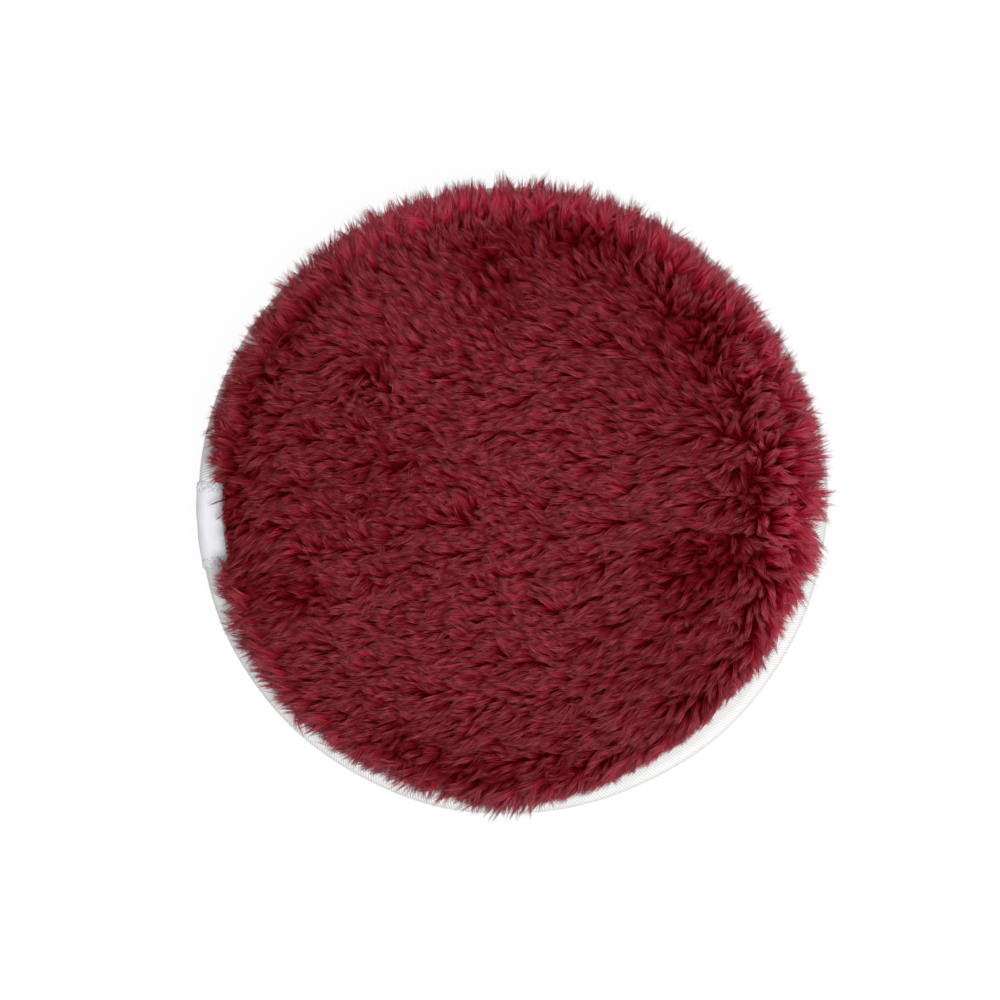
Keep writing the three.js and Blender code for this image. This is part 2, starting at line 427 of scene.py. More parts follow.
def pile_material():
    """Wine-red fibre: across the map is each hair's own tone, and up it runs from root to tip, from
    painted shade at the roots to painted highlight at the tips, with the rim's brighter red as painted
    backlight.
    """
    material, tree = new_material("plush_pile")
    split = add_node(tree, "SeparateXYZ", {"Vector": uv_map(tree, "OFBake")})
    tone, height = split.outputs["X"], split.outputs["Y"]
    # up each hair the ramps paint shade at the root and a highlight at the tip
    dark = add_ramp(tree, height, DARK_FIBRE)
    light = add_ramp(tree, height, LIGHT_FIBRE)
    # painted backlight: the rim's high tones turn to a brighter, clearer red
    backlit = add_ramp(tree, height, PAINTED_BACKLIGHT_FIBRE)
    crown = add_mix(tree, "MIX", tone, dark, light)
    backlit_share = add_range(tree, tone, 0.0, 1.0, *PAINTED_BACKLIGHT_TONES)
    colour = add_mix(tree, "MIX", backlit_share, crown, backlit)
    set_surface(tree, colour, add_range(tree, height, 0.7, 0.5), specular=0.05)
    return material


def ground_material():
    """The knitted backing that the pile grows from."""
    material, tree = new_material("plush_ground")
    knit = add_noise(tree, 900.0)
    colour = add_ramp(tree, knit, [(0.3, (0.07, 0.0003, 0.002)), (0.7, (0.11, 0.001, 0.004))])
    set_surface(tree, colour, add_range(tree, knit, 0.8, 1.0), knit, depth=0.0004, specular=0.04)
    return material


def sponge_material():
    """Open-cell foam: a cream body with painted shade darkening its pores."""
    material, tree = new_material("sponge_foam")
    cells = add_cells(tree, object_coordinates(tree), 1100.0)
    # painted shade: the pores' colour is darker and browner than the body
    foam = [(0.05, (0.5, 0.4, 0.25)), (0.45, (0.82, 0.74, 0.58)), (0.8, (0.9, 0.84, 0.7))]
    colour = add_ramp(tree, cells, foam)
    set_surface(tree, colour, add_range(tree, cells, 1.0, 0.8), cells, depth=0.0004)
    return material


def tape_material():
    """White cotton tape: the ribs are shaped, with painted shade in the grooves between them, and the
    fine cross threads are bump.
    """
    material, tree = new_material("tape_weave")
    across = add_weave(tree, scale=1.1, distortion=0.6, detail=2.0)
    mottle = add_noise(tree, 160.0)
    colour = add_ramp(tree, mottle, [(0.3, (0.95, 0.947, 0.935)), (0.7, (0.98, 0.978, 0.97))])
    threads = [(0.0, (0.95, 0.95, 0.945)), (1.0, (1.0, 1.0, 1.0))]
    # painted shade: the grooves between the ribs are darkened
    groove_shade = [(0.0, (0.38, 0.38, 0.38)), (0.5, (1.0, 1.0, 1.0))]
    for values, stops in ((across, threads), (named_values(tree, "rib"), groove_shade)):
        colour = add_mix(tree, "MULTIPLY", 1.0, colour, add_ramp(tree, values, stops))
    set_surface(tree, colour, add_range(tree, mottle, 0.75, 0.95), across, depth=0.00006)
    return material


def satin_material():
    """Bluish-white satin, with long floats round the edge of the pad and painted shade of the stitches
    and needle pricks at its ends.
    """
    material, tree = new_material("label_satin")
    floats = add_weave(tree, scale=2.2, distortion=1.2, detail=3.0)
    satin = add_ramp(tree, floats, [(0.0, (0.85, 0.86, 0.915)), (1.0, (0.88, 0.89, 0.94))])
    # painted shade: dark dots in the tack bands for the shade of the stitches and their needle holes
    dots = add_cells(tree, uv_map(tree, "weave"), 2.6)
    stitch_shade = add_ramp(tree, dots, [(0.15, (0.4, 0.42, 0.52)), (0.5, (1.0, 1.0, 1.0))])
    colour = add_mix(tree, "MULTIPLY", named_values(tree, "tack"), satin, stitch_shade)
    set_surface(tree, colour, add_range(tree, floats, 0.5, 0.36), floats, depth=0.00003, sheen=0.1)
    return material


def thread_material():
    """Twisted white polyester thread."""
    material, tree = new_material("sewing_thread")
    fibre = add_noise(tree, 2500.0)
    colour = add_ramp(tree, fibre, [(0.3, (0.78, 0.78, 0.77)), (0.7, (0.9, 0.9, 0.89))])
    set_surface(tree, colour, add_range(tree, fibre, 0.55, 0.75), fibre, depth=0.00005)
    return material


# Ground fabric and sponge


def ground_height(radius):
    share = np.clip(radius / GROUND_RADIUS, 0, 1)
    return GROUND_EDGE_HEIGHT + GROUND_RISE * (1 - share**GROUND_POWER) ** GROUND_ROUND


def ground_normal(points):
    """Upward normals of the ground fabric at points near it."""
    step = 0.2
    radius = np.minimum(from_axis(points), GROUND_RADIUS - step)
    slope = (ground_height(radius + step) - ground_height(radius - step)) / (2 * step)
    outward = unit(points[:, :2])
    return unit(np.column_stack([-slope[:, None] * outward, np.ones(len(points))]))


def dense_profile(profile, spacing):
    """More points along a profile's straight runs."""
    dense = []
    for (r0, h0), (r1, h1) in zip(profile[:-1], profile[1:]):
        count = max(1, math.ceil(math.hypot(r1 - r0, h1 - h0) / spacing))
        for share in np.arange(count) / count:
            dense.append((r0 + (r1 - r0) * share, h0 + (h1 - h0) * share))
    dense.append(profile[-1])
    return np.array(dense)


def turned(profile, steps):
    """Points and faces of a profile turned about +Z, from the axis round and back to it."""
    angles = np.arange(steps) * 2 * math.pi / steps
    rings = profile[1:-1]
    points = polar(rings[:, :1], angles[None, :], rings[:, 1:])
    poles = np.array([[0, 0, profile[0, 1]], [0, 0, profile[-1, 1]]])
    quads = grid_faces(len(rings), steps, close_columns=True)
    first = np.arange(steps)
    last = first + (len(rings) - 1) * steps
    start = np.full(steps, len(rings) * steps)
    triangles = np.concatenate(
        [
            quads[:, [0, 1, 2]],
            quads[:, [0, 2, 3]],
            np.stack([start, np.roll(first, -1), first], axis=-1),
            np.stack([start + 1, last, np.roll(last, -1)], axis=-1),
        ]
    )
    return np.concatenate([points.reshape(-1, 3), poles]), triangles


def plush_ground(name, side, material, node):
    """The fabric of one face: round the sponge, under the tape and up into the crown."""
    crown = GROUND_RADIUS * np.sin(np.linspace(math.pi / 2, 0, GROUND_RINGS))
    profile = [
        (0, CAVITY_HEIGHT),
        (CORE_FLAT_RADIUS, CAVITY_HEIGHT),
        (CAVITY_RADIUS, CAVITY_RIM_HEIGHT),
        (CAVITY_RADIUS, FABRIC_INSIDE),
        (FOLD_RADIUS, FABRIC_INSIDE),
        (FOLD_RADIUS, FABRIC_OUTSIDE),
        (NECK_RADIUS, FABRIC_OUTSIDE),
        (NECK_RADIUS, NECK_HEIGHT),
        *((radius, ground_height(radius)) for radius in crown),
    ]
    points, faces = turned(dense_profile(profile, GROUND_SPACING), 3 * STITCHES)
    pucker = PUCKER_HEIGHT * np.cos(STITCHES * (way_round(points) - LABEL_ANGLE))
    pucker *= smoothstep(PUCKER_RADIUS, GROUND_RADIUS, from_axis(points))
    points[:, 2] += np.where(points[:, 2] > PUCKER_BASE, pucker, 0)
    if side < 0:
        points[:, 2] *= -1
        faces = faces[:, ::-1]
    piece = add_piece(name, points, faces, material, [node])


def sponge(material):
    """The foam between the faces, pitted all over."""
    spacing = 0.9
    steps = 300
    seed = 7
    wide_pores = 2.2
    fine_pores = 1.4
    pore_slant = 9.0
    pore_depth = 0.006
    profile = [
        (0, -CORE_HEIGHT),
        (CORE_FLAT_RADIUS, -CORE_HEIGHT),
        (CORE_RADIUS, -CORE_RIM_HEIGHT),
        (CORE_RADIUS, CORE_RIM_HEIGHT),
        (CORE_FLAT_RADIUS, CORE_HEIGHT),
        (0, CORE_HEIGHT),
    ]
    points, faces = turned(dense_profile(profile, spacing), steps)
    rng = np.random.default_rng(seed)
    x, y, height = points.T
    pores = smooth_noise(x, y, wide_pores, rng)
    pores += smooth_noise(x + pore_slant * height, y, fine_pores, rng)
    points *= (1 - pore_depth * np.clip(pores, 0, 2))[:, None]
    piece = add_piece("sponge_pad", points, faces, material, ["sponge_core"])


# Binding tape and label


def edge_wobble(points):
    """The slightly uneven line of the bound edge."""
    angle = way_round(points)
    wave = sum(height * np.sin(count * angle + start) for height, count, start in EDGE_WAVES)
    radius = from_axis(points)
    grow = 1 + wave * smoothstep(NECK_RADIUS, EDGE_RADIUS, radius) / radius
    out = points.copy()
    out[..., :2] *= grow[..., None]
    return out


def fold_section(inner_radius, bend_radius, flat_points, fold_points):
    """A line from the front's inner edge over the fold to the back's, its normals and its run."""
    flat = np.linspace(inner_radius, FOLD_RADIUS, flat_points + 1)[:-1]
    turn = np.linspace(math.pi / 2, -math.pi / 2, fold_points)
    radius = np.concatenate([flat, FOLD_RADIUS + bend_radius * np.cos(turn), flat[::-1]])
    out = np.concatenate([np.zeros(flat_points), np.cos(turn), np.zeros(flat_points)])
    up = np.concatenate([np.ones(flat_points), np.sin(turn), -np.ones(flat_points)])
    height = bend_radius * up
    run = np.concatenate([[0], np.cumsum(np.hypot(np.diff(radius), np.diff(height)))])
    return radius, height, out, up, run


def folded_strip(inner_radius, inside, outside, angles, slant, relief, rows):
    """A closed strip folded over the uneven edge: its points, its faces and its weave map."""
    layers = []
    for bend_radius in (outside, inside):
        radius, height, out, up, run = fold_section(inner_radius, bend_radius, *rows)
        angle = angles[None, :] + slant * run[:, None] / EDGE_RADIUS
        lift = relief(run[:, None], angles[None, :]) if bend_radius == outside else 0.0
        lifted_radius = radius[:, None] + out[:, None] * lift
        lifted_height = height[:, None] + up[:, None] * lift
        layers.append(polar(lifted_radius, angle, lifted_height))
    count = len(layers[0])
    points = np.concatenate([layers[0], layers[1][::-1]])
    columns = len(angles)
    sides = grid_faces(2 * count, columns, close_rows=True)
    row = np.arange(count - 1)
    ends = []
    for column, order in ((0, 1), (columns - 1, -1)):
        outer = row * columns + column
        inner = (2 * count - 1 - row) * columns + column
        ends.append(np.stack([outer, outer + columns, inner - columns, inner], axis=-1)[:, ::order])
    run = np.concatenate([run, run[::-1]])
    weave = np.stack(np.broadcast_arrays(angles[None, :] * EDGE_RADIUS, run[:, None]), axis=-1)
    faces = np.concatenate([sides, *ends])[:, ::-1]
    return edge_wobble(points), faces, weave.reshape(-1, 2)


def binding_tape(material):
    """Ribbed tape: the columns of the mesh follow its slanting ribs."""
    ribs = 685
    samples = 4
    rib_height = 0.13
    slant = 0.38
    rows = (2, 13)  # along each flat and round the fold
    joint = 0.25 / EDGE_RADIUS
    fold_run = 10.0  # about half way over, where the joint is in the middle of the label
    start = LABEL_ANGLE - slant * fold_run / EDGE_RADIUS
    angles = np.linspace(start + joint, start + 2 * math.pi - joint, ribs * samples + 1)
    rib = np.abs(np.sin(ribs * (angles - start) / 2))

    def relief(run, angle):
        return rib_height * (rib[None, :] - 0.5) + 0 * run

    points, faces, weave = folded_strip(
        TAPE_EDGE_RADIUS, TAPE_INSIDE, TAPE_OUTSIDE, angles, slant, relief, rows
    )
    piece = add_piece("ribbed_tape", points, faces, material, ["binding_tape"])
    add_uv(piece, "weave", weave)
    add_values(piece, "rib", rib, points.shape[:2])


def satin_label(material):
    """A satin strip folded over the tape's joint, fuller in the middle than at its sewn ends."""
    columns = 91
    rows = (5, 17)
    fullness = 0.32
    sunk = 0.11
    dent = 0.04
    dent_waves = (9.0, 1.7)  # along the edge and over it
    tack_band = (0.8, 1.1)
    angles = np.linspace(LABEL_ANGLE - LABEL_HALF_ANGLE, LABEL_ANGLE + LABEL_HALF_ANGLE, columns)

    def relief(run, angle):
        along = (angle - LABEL_ANGLE) / LABEL_HALF_ANGLE
        full = fullness * (1 - along**4)
        dents = dent * np.sin(dent_waves[0] * along + dent_waves[1] * run) * (1 - along**2)
        return full * np.sin(math.pi * run / run.max()) + dents - sunk

    points, faces, weave = folded_strip(
        LABEL_EDGE_RADIUS, LABEL_INSIDE, LABEL_OUTSIDE, angles, 0.0, relief, rows
    )
    piece = add_piece("satin_label", points, faces, material, ["edge_label"])
    add_uv(piece, "weave", weave)
    from_tack = np.abs(np.abs(angles - LABEL_ANGLE) - TACK_HALF_ANGLE) * EDGE_RADIUS
    add_values(piece, "tack", 1 - smoothstep(*tack_band, from_tack), points.shape[:2])


# Threads


def rounded_path(corners, samples, passes, closed):
    """A path through corners, with the corners worn round."""
    after = np.roll(corners, -1, axis=0)
    share = np.arange(samples)[None, :, None] / samples
    path = (corners[:, None] * (1 - share) + after[:, None] * share).reshape(-1, 3)
    if not closed:
        path = path[: (len(corners) - 1) * samples + 1]
    for _ in range(passes):
        eased = (np.roll(path, 1, axis=0) + 2 * path + np.roll(path, -1, axis=0)) / 4
        if not closed:
            eased[[0, -1]] = path[[0, -1]]
        path = eased
    return path


def path_frames(path, closed):
    """Directions along a path and two directions across it that don't twist."""
    nearly_upright = 0.1
    if closed:
        along = np.roll(path, -1, axis=0) - np.roll(path, 1, axis=0)
    else:
        along = np.gradient(path, axis=0)
    along = unit(along)
    side = np.zeros_like(path)
    first = np.cross(along[0], (0.0, 0.0, 1.0))
    if np.linalg.norm(first) < nearly_upright:
        first = np.cross(along[0], (1.0, 0.0, 0.0))
    side[0] = unit(first)
    for i in range(1, len(path)):
        carried = side[i - 1] - along[i] * np.dot(side[i - 1], along[i])
        side[i] = carried / np.linalg.norm(carried)
    return along, side, np.cross(along, side)


def twisted_thread(path, radius, closed, sides=9, plies=3, twist=1.1, ply_depth=0.1):
    """A tube of plies laid round each other along a path."""
    along, side, other = path_frames(path, closed)
    run = np.concatenate([[0], np.cumsum(np.linalg.norm(np.diff(path, axis=0), axis=1))])
    turn = np.arange(sides) * 2 * math.pi / sides
    ply = np.cos(plies * turn[None, :] - 2 * math.pi * plies * run[:, None] / (plies * twist))
    reach = radius * (1 - ply_depth + ply_depth * ply)[..., None]
    sideways = np.cos(turn)[None, :, None] * side[:, None]
    ring = sideways + np.sin(turn)[None, :, None] * other[:, None]
    points = path[:, None] + reach * ring
    faces = grid_faces(len(path), sides, close_rows=closed, close_columns=True)
    triangles = np.concatenate([faces[:, [0, 1, 2]], faces[:, [0, 2, 3]]])
    points = points.reshape(-1, 3)
    if not closed:
        first = np.arange(sides)
        last = first + (len(path) - 1) * sides
        cap = np.stack([np.full(sides - 2, first[0]), first[2:], first[1:-1]], axis=-1)
        end = np.stack([np.full(sides - 2, last[0]), last[1:-1], last[2:]], axis=-1)
        triangles = np.concatenate([triangles, cap, end])
    return points, triangles


def stitch_angles():
    return LABEL_ANGLE + (np.arange(STITCHES) + 0.5) * 2 * math.pi / STITCHES


def needle_thread(material):
    """Along the front, and at each hole down round the bobbin thread and up."""
    corners = []
    for angle in stitch_angles():
        for radius, height in (
            (SEAM_RADIUS - THREAD_PITCH, NEEDLE_HEIGHT),
            (SEAM_RADIUS - THREAD_PITCH, LOOP_HEIGHT),
            (SEAM_RADIUS + THREAD_PITCH, LOOP_HEIGHT),
            (SEAM_RADIUS + THREAD_PITCH, NEEDLE_HEIGHT),
        ):
            corners.append(polar(radius, angle, height))
    path = rounded_path(np.array(corners), samples=10, passes=2, closed=True)
    points, faces = twisted_thread(path, THREAD_RADIUS, True)
    add_piece("seam_needle_thread", points, faces, material, ["needle_thread"])


def bobbin_thread(material):
    corners = polar(SEAM_RADIUS, stitch_angles(), -NEEDLE_HEIGHT)
    path = rounded_path(corners, samples=20, passes=4, closed=True)
    points, faces = twisted_thread(path, THREAD_RADIUS, True)
    add_piece("seam_bobbin_thread", points, faces, material, ["bobbin_thread"])


def tack_thread(name, angle, material, node):
    """A close zigzag over the label's end, from the front round the edge to the back."""
    width = 1.7
    pitch = 1.1
    radius = 0.1
    bend = LABEL_OUTSIDE + radius
    line_radius, line_height, _, _, run = fold_section(TACK_RADIUS, bend, flat_points=3, fold_points=25)
    steps = 2 * round(run[-1] / pitch)
    place = np.linspace(0, run[-1], steps + 1)
    swing = width / 2 * np.where(np.arange(steps + 1) % 2, 1, -1)
    line_radius = np.interp(place, run, line_radius)
    corners = polar(line_radius, angle + swing / line_radius, np.interp(place, run, line_height))
    path = rounded_path(edge_wobble(corners), samples=6, passes=1, closed=False)
    points, faces = twisted_thread(path, radius, False, sides=6, plies=2, twist=0.5)
    add_piece(name, points, faces, material, [node])


# Pile

# Places where the pile is combed another way: x, y, heading in degrees, reach and strength
COMBS = (
    (-36, 33, 155, 6, 2.0),
    (-28, 40, 138, 7, 3.5),
    (-14, 43, 134, 7, 4.0),
    (1, 43, 134, 7, 4.0),
    (14, 42, 146, 7, 3.0),
    (26, 36, 148, 8, 2.5),
    (31, 23, 132, 7, 2.5),
    (33, 6, 205, 6, 2.0),
    (33, -4, 215, 6, 2.0),
    (-51, -11, 232, 4.5, 3.5),
    (-50, 2, 218, 4.5, 2.5),
    (37, -18, 265, 3.5, 2.5),
    (26, -20, 212, 8, 2.0),
    (26, -38, 214, 10, 2.0),
    (42, -30, 224, 8, 2.5),
    (-6, -49, 200, 6, 2.0),
    (12, 27, 202, 6, 1.4),
    (-20, -30, 195, 10, 0.8),
)

# Spots that the pile turns round clockwise or leans away from: x, y, reach, turn and lean
WHORLS = (
    (38, -11, 4.5, 0.8, 0.8),
    (-27, 26, 4.5, -1.8, 0.4),
    (12, 52, 3.5, 0.0, 1.8),
    (35, 42, 3.5, 0.0, 1.4),
)

# Hollows, dark with painted shade, where the pile is short and parted: x, y, reach and depth
HOLLOWS = (
    (13, 52, 4.0, 1.0),
    (20, 50, 3.5, 0.5),
    (-2, 44, 3.0, 0.8),
    (-1, 39, 6.0, 0.3),
    (36, 32, 3.5, 0.7),
    (24, 38, 10.0, 0.2),
    (38, 22, 8.0, 0.25),
    (45, 2, 2.8, 0.5),
    (33, -11, 3.0, 0.9),
    (40, -10, 3.0, 1.0),
    (36, -18, 2.5, 0.5),
    (54, 14, 2.5, 0.8),
    (-37, 40, 4.0, 0.4),
    (-43, 33, 5.0, 0.6),
    (-50, 18, 5.0, 0.45),
    (-52, 4, 4.5, 0.45),
    (-52, -6, 3.5, 0.4),
    (-49, -17, 2.5, 0.8),
    (-42, -16, 2.5, 0.4),
    (-37, -18, 2.5, 0.8),
    (-25, 24, 2.0, 0.5),
    (-24, 4, 11.0, 0.2),
    (30, -24, 9.0, 0.15),
    (-20, -45, 3.0, 0.5),
    (-12, -50, 3.0, 0.5),
    (-1, -50, 3.0, 0.4),
    (11, -51, 3.0, 0.5),
)

# The rim of the front pile by degrees round the pad: how far its tips come from the axis, how
# ragged they are, how wide the band is where they point outwards, the degrees by which they turn
# aside, the degrees by which they stand up and how much lighter they are, which is painted light
# and shade: lighter at the right and top, darker at the upper left and left
FRONT_RIM = (
    (0, 61.8, 1.2, 9, -8, 10, 0.36),
    (10, 63.2, 1.5, 9, 0, 10, 0.34),
    (25, 62.0, 1.0, 8, 5, 10, 0.34),
    (40, 61.5, 1.2, 7, 8, 8, 0.34),
    (52, 61.6, 1.2, 6, 8, 6, 0.34),
    (70, 63.4, 1.0, 5, 8, 4, 0.34),
    (90, 63.4, 0.6, 5, 0, 4, 0.33),
    (118, 63.4, 0.6, 5, -5, 6, 0.25),
    (132, 62.8, 0.8, 3.5, 0, 14, 0.05),
    (142, 61.4, 0.8, 5, 5, 20, -0.05),
    (155, 60.6, 0.8, 5, 8, 20, -0.12),
    (167, 60.8, 1.0, 4, 10, 20, -0.1),
    (174, 58.8, 1.0, 2, 5, 32, -0.1),
    (177, 55.5, 0.2, 2, 0, 50, -0.2),
    (192, 55.5, 0.2, 2, 0, 50, -0.2),
    (196, 59.8, 1.6, 2, -25, 12, 0.05),
    (205, 60.5, 1.8, 2, -32, 8, 0.12),
    (222, 60.3, 1.2, 2, -26, 8, 0.12),
    (245, 59.3, 1.1, 2.5, -28, 6, 0.08),
    (260, 60.4, 1.8, 3.5, -28, 4, 0.06),
    (270, 61.8, 1.4, 3.5, -38, 4, 0.06),
    (282, 59.2, 0.8, 3, -38, 4, 0.12),
    (295, 57.0, 0.5, 2.5, -40, 4, 0.2),
    (320, 56.7, 0.6, 2.5, -36, 4, 0.25),
    (330, 58.2, 1.5, 2.5, -35, 4, 0.3),
    (340, 59.2, 1.3, 6, -32, 6, 0.32),
    (350, 61.2, 1.6, 9, -28, 8, 0.35),
    (360, 61.8, 1.2, 9, -8, 10, 0.36),
)
BACK_RIM = ((0, 59.6, 0.8, 6, 0, 4, 0), (360, 59.6, 0.8, 6, 0, 4, 0))

# Long locks of the front's rim: degrees round the pad and radius of the tip, its heading and how
# many thin locks it is made of
TUFTS = (
    (1, 61.8, 0, 3),
    (8, 62.0, 2, 3),
    (11, 61.9, 12, 3),
    (19, 61.4, 24, 3),
    (41, 60.6, 45, 3),
    (43, 60.8, 60, 3),
    (48, 60.3, 25, 3),
    (56, 60.5, 65, 3),
    (63, 61.6, 88, 3),
    (67, 60.9, 80, 3),
    (69, 61.3, 90, 3),
    (73, 62.1, 90, 3),
    (79, 60.9, 30, 3),
    (83, 61.1, 40, 3),
    (88, 61.5, 65, 3),
    (93, 61.7, 85, 3),
    (97, 62.5, 90, 3),
    (102, 61.3, 100, 3),
    (106, 61.8, 95, 3),
    (109, 62.6, 92, 3),
    (176, 55.8, 200, 1),
    (181, 58.2, 200, 1),
    (184, 56.7, 218, 1),
    (196, 57.7, 176, 3),
    (201, 58.7, 162, 3),
    (203, 58.2, 167, 3),
    (207, 58.9, 160, 3),
    (212, 59.3, 195, 3),
    (215, 57.8, 170, 3),
    (222, 58.9, 207, 3),
    (224, 58.5, 212, 3),
    (259, 58.0, 285, 3),
    (263, 60.5, 262, 3),
    (266, 60.2, 234, 3),
    (271, 59.3, 230, 3),
    (272, 60.2, 230, 3),
    (315, 56.8, 250, 3),
    (323, 57.2, 285, 3),
    (326, 58.7, 300, 3),
    (330, 58.6, 296, 3),
    (345, 59.2, 340, 3),
    (347, 60.0, 309, 3),
    (352, 59.9, 310, 3),
    (359, 60.5, 340, 3),
)


def rim_values(rim, angle):
    """The six values of a rim table at angles round the pad."""
    places, *columns = zip(*rim)
    degrees = np.degrees(angle) % 360
    return [np.interp(degrees, places, column) for column in columns]


def nap_flow(x, y, rng, rim_table):
    """Which way the pile lies, how flat and how neatly combed, at places on a face."""
    flow = np.stack([np.full_like(x, way) for way in NAP])
    combed = np.zeros_like(x)
    for comb_x, comb_y, degrees, reach, strength in COMBS:
        near = strength * falloff(x - comb_x, y - comb_y, reach)
        heading = math.radians(degrees)
        flow += near * np.array([[math.cos(heading)], [math.sin(heading)]])
        combed += near
    for whorl_x, whorl_y, reach, turn, lean in WHORLS:
        away = np.stack([x - whorl_x, y - whorl_y])
        near = falloff(*away, reach) / reach
        flow += near * (turn * np.stack([away[1], -away[0]]) + lean * away)
    combed = np.minimum(combed / FULLY_COMBED, 1)
    waves = sum(turn * smooth_noise(x, y, length, rng) for turn, length in NAP_WAVES)
    waves = waves * (1 - COMBED_CALM * combed)
    heading = np.arctan2(flow[1], flow[0]) + waves
    strength = np.minimum(np.hypot(flow[0], flow[1]), 1)
    angle = np.arctan2(y, x)
    _, _, width, aside, stand, _ = rim_values(rim_table, angle)
    outward = angle + np.radians(aside) + waves
    parting = GROUND_RADIUS - width + PARTING_WOBBLE * ring_noise(angle, PARTING_WAVES, rng)
    rim = smoothstep(parting - PARTING_REACH, parting + PARTING_REACH, np.hypot(x, y))
    flat = 1 - stand / UPRIGHT
    turn = (outward - heading + math.pi) % (2 * math.pi) - math.pi
    opposed = 2 * rim * (1 - rim) * (1 - np.cos(turn))
    strength = ((1 - rim) * strength + rim * flat) * (1 - PARTING_STAND * opposed)
    return heading + rim * turn, strength, combed


def crown_roots(rng, area):
    """Roots spread evenly over a face, one to each area."""
    count = int(math.pi * GROUND_RADIUS**2 / area)
    index = np.arange(count) + 0.5
    root = polar(CROWN_EDGE * np.sqrt(index / count), index * GOLDEN_ANGLE, 0.0)
    root[:, :2] += rng.normal(0, ROOT_SCATTER * math.sqrt(area), (count, 2))
    radius = from_axis(root)
    root[:, :2] *= np.minimum(1, ROOT_EDGE / radius)[:, None]
    root[:, 2] = ground_height(np.minimum(radius, ROOT_EDGE))
    return root


def rim_roots(rng, count, rim_table):
    """Where the tufts round the neck grow, which spill over the tape, with none beside the label."""
    angle = (np.arange(count) + rng.uniform(0, 1, count)) * 2 * math.pi / count
    radius = ROOT_EDGE - RIM_ROOT_BAND * rng.uniform(0, 1, count)
    root = polar(radius, angle, ground_height(radius) - RIM_ROOT_DROP * rng.uniform(0, 1, count))
    reach = rim_values(rim_table, angle)[0]
    return root[reach > GROUND_RADIUS + RIM_LEAST_REACH]


def lock_travel(rng, up, tuft, ways, spreads):
    """How locks go on from their roots: their tuft's way, each with a small spread of its own."""
    own = [rng.normal(0, spread, len(tuft)) for spread in spreads]
    heading, curl, length, start_lift, end_lift = (way[tuft] for way in ways)
    middle = (np.arange(HAIR_RINGS) + 0.5) / HAIR_RINGS
    turn = (heading + own[0])[:, None] + (curl + own[1])[:, None] * middle
    start_lift = np.radians(start_lift + own[3])[:, None]
    end_lift = np.radians(end_lift + own[4])[:, None]
    lift = start_lift + (end_lift - start_lift) * middle
    flat = np.stack([np.cos(turn), np.sin(turn), np.zeros_like(turn)], axis=-1)
    flat = unit(flat - up[:, None] * (flat * up[:, None]).sum(-1, keepdims=True))
    step = np.cos(lift)[..., None] * flat + np.sin(lift)[..., None] * up[:, None]
    step_length = length * (1 + own[2]) / HAIR_RINGS
    travel = np.cumsum(step * step_length[:, None, None], axis=1)
    return np.concatenate([np.zeros((len(up), 1, 3)), travel], axis=1)


def hollow_depth(x, y):
    depth = np.zeros_like(x)
    for hollow_x, hollow_y, reach, deep in HOLLOWS:
        depth += deep * falloff(x - hollow_x, y - hollow_y, reach)
    return np.minimum(depth, 1)


def nearest_tuft(middle, root):
    """The index of the tuft that each root belongs to."""
    tree = KDTree(len(middle))
    for index, place in enumerate(middle):
        tree.insert(place, index)
    tree.balance()
    return np.array([tree.find(place)[1] for place in root])


def crown_travel(rng, root, noise, rim_table):
    """The locks of a face, gathered into tufts that lie along its nap, and how light they are, with
    painted shade in the hollows and painted light and shade near the rim.
    """
    middle = crown_roots(rng, TUFT_AREA)
    tuft = nearest_tuft(middle, root)
    tufts = len(middle)
    x, y = middle[:, 0], middle[:, 1]
    patches = 1 + HOLLOW_PATCHES * smooth_noise(x, y, HOLLOW_WAVE, noise)
    hollow = hollow_depth(x, y) * np.clip(patches, *HOLLOW_RANGE)
    heading, strength, combed = nap_flow(x, y, noise, rim_table)
    strength = strength * (1 - HOLLOW_STAND * hollow)
    standing = 1 - strength
    heading = heading + rng.normal(0, 1, tufts) * (HEADING_SPREAD - COMBED_NEAT * combed + standing)
    curl = rng.normal(0, CURL_SPREAD, tufts)
    length = HAIR_LENGTH * rng.normal(1, LENGTH_SPREAD, tufts)
    length = length * (1 - HOLLOW_SHORT * hollow) * (1 + COMBED_LONG * combed)
    length = length * (1 - STANDING_SHORT * standing)
    start_lift = rng.normal(*START_LIFT, tufts) + STANDING_START * standing
    end_lift = rng.normal(*END_LIFT, tufts) + STANDING_END * standing
    up = unit(ground_normal(root) + np.array([0.0, 0.0, 1.0]))
    travel = lock_travel(rng, up, tuft, (heading, curl, length, start_lift, end_lift), CROWN_SPREADS)
    shift = TUFT_PULL * (middle[tuft] - root)
    shift[:, 2] = 0
    for axis in (0, 1):
        shift[:, axis] += TUFT_LEAN * smooth_noise(x, y, LEAN_WAVE, noise)[tuft]
    # painted shade darkens the locks in hollows
    tone = rng.normal(0, TUFT_TONE, tufts) - HOLLOW_PAINTED_SHADE * hollow
    # painted light and shade of the rim, fading in from its parting
    _, _, width, _, _, rim_tone_and_painted_light = rim_values(rim_table, np.arctan2(y, x))
    parting = GROUND_RADIUS - width
    tone = tone + rim_tone_and_painted_light * smoothstep(parting, parting + RIM_PAINTED_LIGHT_BAND, np.hypot(x, y))
    return travel + shift[:, None] * HAIR_SHARES[:, None], tone[tuft]


